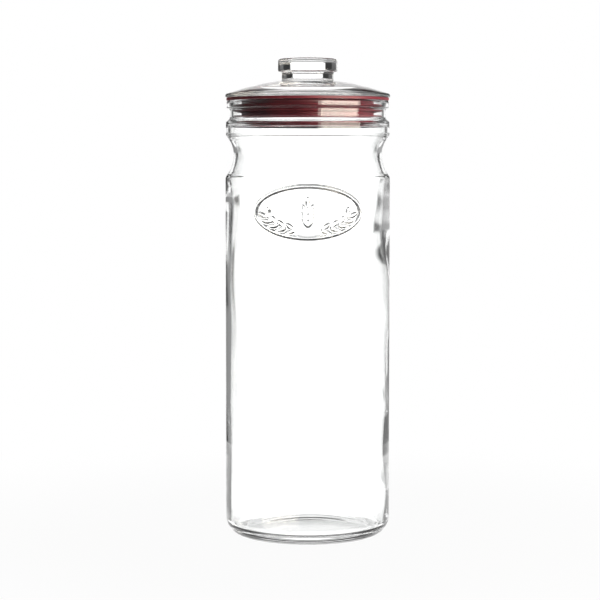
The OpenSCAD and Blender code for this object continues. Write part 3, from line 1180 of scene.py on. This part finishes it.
def make_surroundings(scene):
    """White cards in a dark studio for what glass shows, and even fill light."""
    world = bpy.data.worlds.new("studio")
    world.use_nodes = True
    tree = world.node_tree
    tree.nodes.clear()
    way = split(tree, add_node(tree, "ShaderNodeTexCoord").outputs["Generated"])
    azimuth, rise = azimuth_of(tree, way), way[2]

    def by_elevation(elevations, to_low=0.0, to_high=1.0):
        low, high = (math.sin(math.radians(elevation)) for elevation in elevations)
        return ramped(tree, rise, low, high, to_low, to_high)

    def brightest(value, cards):
        for card in cards:
            value = maths(tree, "MAXIMUM", value, card_light(tree, azimuth, rise, card))
        return value

    dark = by_elevation(HORIZON, DARK, DARKER)
    solid = in_one_wall(tree)
    band = product(tree, by_elevation(BAND_HIGH, 1.0, 0.0), by_elevation(BAND_LOW), solid)
    clear = brightest(dark, CLEAR_CARDS)
    clear = blend(tree, solid, brightest(clear, HOLLOW_CARDS), brightest(clear, SOLID_CARDS))
    clear = blend(tree, band, clear, WALL)
    clear = blend(tree, never_mirrored(tree), clear, brightest(clear, SIDE_CARDS))
    camera, mirrored, through = ray_kinds(tree)
    strength = blend(tree, mirrored, FILL, brightest(dark, MIRROR_CARDS))
    strength = blend(tree, through, strength, clear)
    strength = blend(tree, camera, strength, 1.0)
    shade = add_node(tree, "ShaderNodeBackground", {"Color": WHITE, "Strength": strength})
    add_node(tree, "ShaderNodeOutputWorld", {"Surface": shade.outputs[0]})
    scene.world = world


def floor_through_glass(tree, place, far):
    """How bright the floor is where it shows through glass, from its place and distance to the axis, with a
    painted shadow around the jar's foot.
    """
    azimuth = azimuth_of(tree, split(tree, place))
    solid = in_one_wall(tree)
    hollow = maths(tree, "SUBTRACT", 1.0, solid)
    under_body = maths(tree, "MULTIPLY", hollow, ramped(tree, far, *UNDER_BODY, 1.0, 0.0))
    # Painted shadow of the foot: past the foot, the floor that glass shows stays dark until the strips,
    # unless light crossed a hollow
    white = maths(tree, "MAXIMUM", under_body, ramped(tree, far, *FOOT_SHADOW_START, 1.0, 0.0))
    for centre, half, width in FLOOR_STRIPS:
        turn = maths(tree, "SUBTRACT", azimuth, math.radians(centre))
        across = maths(tree, "ABSOLUTE", maths(tree, "SINE", turn))
        widening = maths(tree, "MULTIPLY", maths(tree, "COSINE", turn), math.tan(math.radians(half)))
        aside = maths(tree, "MULTIPLY", far, maths(tree, "SUBTRACT", across, widening))
        within = ramped(tree, aside, width - STRIP_EDGE, width + STRIP_EDGE, 1.0, 0.0)
        within = maths(tree, "MULTIPLY", within, ramped(tree, far, *STRIP_START))
        white = maths(tree, "MAXIMUM", white, within)
    light = maths(tree, "MULTIPLY_ADD", white, BRIGHT - DARK, DARK)
    wall = maths(tree, "MULTIPLY", solid, ramped(tree, far, *WALL_FLOOR_START))
    return blend(tree, wall, light, ramped(tree, far, *WALL_FLOOR_TURN, *WALL_FLOOR))


def make_floor(scene):
    """A round pale floor that keeps the jar's shadow and fades into the white background."""
    mesh = bpy.data.meshes.new("floor")
    turns = [math.tau * i / FLOOR_SIDES for i in range(FLOOR_SIDES)]
    ring = [(FLOOR_RADIUS * math.cos(a), FLOOR_RADIUS * math.sin(a), -FLOOR_DROP) for a in turns]
    mesh.from_pydata(ring, [], [list(range(FLOOR_SIDES))])
    floor = bpy.data.objects.new("floor", mesh)
    scene.collection.objects.link(floor)
    material, tree = new_material("floor_paper")
    place = add_node(tree, "ShaderNodeTexCoord").outputs["Object"]
    far = add_node(tree, "ShaderNodeVectorMath", {0: place}, operation="LENGTH").outputs["Value"]
    camera, mirrored, through = ray_kinds(tree)
    looked_at = maths(tree, "MAXIMUM", camera, maths(tree, "MAXIMUM", mirrored, through))
    shown = maths(tree, "MULTIPLY", looked_at, ramped(tree, far, *FADE, FADE_START, 1.0))
    strength = blend(tree, through, 1.0, floor_through_glass(tree, place, far))
    paper = add_node(tree, "ShaderNodeBsdfDiffuse", {"Color": scene.jar_look.floor})
    glow = add_node(tree, "ShaderNodeEmission", {"Color": WHITE, "Strength": strength})
    surface = add_node(tree, "ShaderNodeMixShader", {0: shown, 1: paper.outputs[0], 2: glow.outputs[0]})
    add_node(tree, "ShaderNodeOutputMaterial", {"Surface": surface.outputs[0]})
    mesh.materials.append(material)


class PASTA_OT_stage(bpy.types.Operator):
    """Set up the camera, the lamps, the studio surroundings and the floor"""

    bl_idname = "pasta.stage"
    bl_label = "Stage"

    def execute(self, context):
        scene = context.scene
        key = scene.jar_look.key
        make_camera(scene)
        make_surroundings(scene)
        make_lamp(scene, "key", *KEY_LAMP, tint=key)
        make_lamp(scene, "key_edge", *KEY_EDGE_LAMP, tint=key)
        make_lamp(scene, "side", *SIDE_LAMP, seen=False)
        make_lamp(scene, "back", *BACK_LAMP, seen=False)
        make_floor(scene)
        scene.view_settings.view_transform = "Standard"
        scene.cycles.caustics_reflective = False
        scene.cycles.caustics_refractive = False
        scene.cycles.max_bounces = 32
        scene.cycles.transmission_bounces = 32
        scene.cycles.glossy_bounces = 16
        scene.cycles.transparent_max_bounces = 32
        return {"FINISHED"}


class PASTA_PT_panel(bpy.types.Panel):
    """Lists the pieces of the pasta jar"""

    bl_idname = "PASTA_PT_panel"
    bl_label = "Pasta Jar"
    bl_space_type = "VIEW_3D"
    bl_region_type = "UI"
    bl_category = "Pasta Jar"

    def draw(self, context):
        for step in STEPS:
            self.layout.operator(step.bl_idname)
        for group in GROUPS:
            box = self.layout.box()
            settings = getattr(context.scene, group)
            for name in settings.bl_rna.properties.keys():
                if name not in ("rna_type", "name"):
                    box.prop(settings, name)


GROUPS = {
    "jar_sizes": JarSizes,
    "seal_sizes": SealSizes,
    "lid_sizes": LidSizes,
    "emblem_sizes": EmblemSizes,
    "jar_look": JarLook,
}
STEPS = (PASTA_OT_stage, PASTA_OT_glass_jar, PASTA_OT_seal_ring, PASTA_OT_glass_lid)


def register():
    for kind in (*GROUPS.values(), *STEPS, PASTA_PT_panel):
        bpy.utils.register_class(kind)
    for name, kind in GROUPS.items():
        setattr(bpy.types.Scene, name, bpy.props.PointerProperty(type=kind))


def unregister():
    for name in GROUPS:
        delattr(bpy.types.Scene, name)
    for kind in (PASTA_PT_panel, *reversed(STEPS), *GROUPS.values()):
        bpy.utils.unregister_class(kind)


def main():
    register()
    bpy.ops.pasta.stage()
    bpy.ops.pasta.glass_jar()
    bpy.ops.pasta.seal_ring()
    bpy.ops.pasta.glass_lid()


if __name__ == "__main__":
    main()
